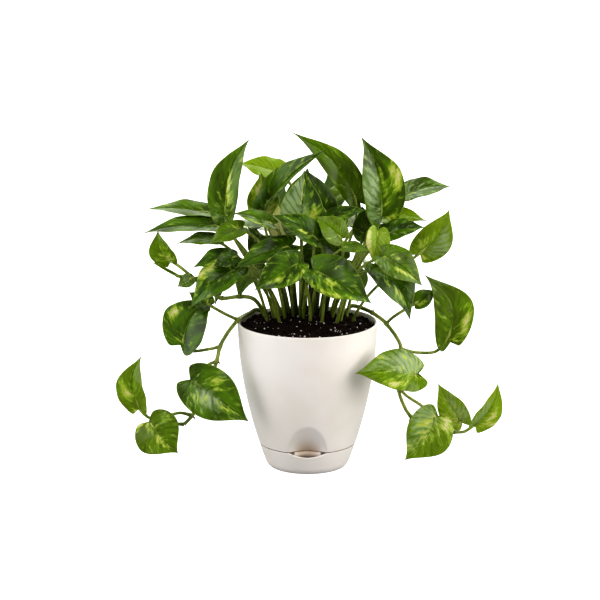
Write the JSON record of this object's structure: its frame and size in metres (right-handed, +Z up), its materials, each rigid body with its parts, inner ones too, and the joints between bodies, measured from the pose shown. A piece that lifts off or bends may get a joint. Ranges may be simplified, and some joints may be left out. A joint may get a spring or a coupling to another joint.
{
  "type": "potted pothos plant",
  "caption": "Bushy variegated pothos with trailing stems in a tapered two-piece self-watering pot with a front watering alcove.",
  "frame": {"origin": "centre of the water tray's flat underside, on the surface the pot stands on", "axes": "+Z up along the pot's axis, the watering alcove faces -Y, +X to the right as seen from the front"},
  "size_m": [0.4413, 0.2474, 0.3892],
  "materials": {
    "pot_plastic": "warm off-white, fine matte",
    "soil": "damp crumbly potting mix, near black, with white perlite",
    "leaf": "glossy green with yellow-green and cream streaks"
  },
  "bodies": {
    "root": {"planter_pot": "pot_plastic", "water_tray": "pot_plastic", "potting_soil": "soil", "crown_leaf_01": "leaf", "crown_leaf_02": "leaf", "crown_leaf_03": "leaf", "crown_leaf_04": "leaf", "crown_leaf_05": "leaf", "crown_leaf_06": "leaf", "crown_leaf_07": "leaf", "crown_leaf_08": "leaf", "crown_leaf_09": "leaf", "crown_leaf_10": "leaf", "crown_leaf_11": "leaf", "crown_leaf_12": "leaf", "crown_leaf_13": "leaf", "crown_leaf_14": "leaf", "crown_leaf_15": "leaf", "crown_leaf_16": "leaf", "crown_leaf_17": "leaf", "crown_leaf_18": "leaf", "crown_leaf_19": "leaf", "crown_leaf_20": "leaf", "crown_leaf_21": "leaf", "crown_leaf_22": "leaf", "crown_leaf_23": "leaf", "crown_leaf_24": "leaf", "crown_leaf_25": "leaf", "crown_leaf_26": "leaf", "crown_leaf_27": "leaf", "crown_leaf_28": "leaf", "crown_leaf_29": "leaf", "crown_leaf_30": "leaf", "crown_leaf_31": "leaf", "crown_leaf_32": "leaf", "crown_leaf_33": "leaf", "crown_leaf_34": "leaf", "crown_leaf_35": "leaf", "crown_leaf_36": "leaf", "crown_leaf_37": "leaf", "crown_leaf_38": "leaf", "crown_leaf_39": "leaf", "crown_leaf_40": "leaf", "crown_leaf_41": "leaf", "crown_leaf_42": "leaf", "crown_leaf_43": "leaf", "crown_leaf_44": "leaf", "crown_leaf_45": "leaf", "crown_leaf_46": "leaf", "crown_leaf_47": "leaf", "crown_leaf_48": "leaf", "crown_leaf_49": "leaf", "crown_leaf_50": "leaf", "crown_leaf_51": "leaf", "left_trailing_vine": "leaf", "right_trailing_vine": "leaf", "upper_left_shoot": "leaf"}
  },
  "joints": []
}
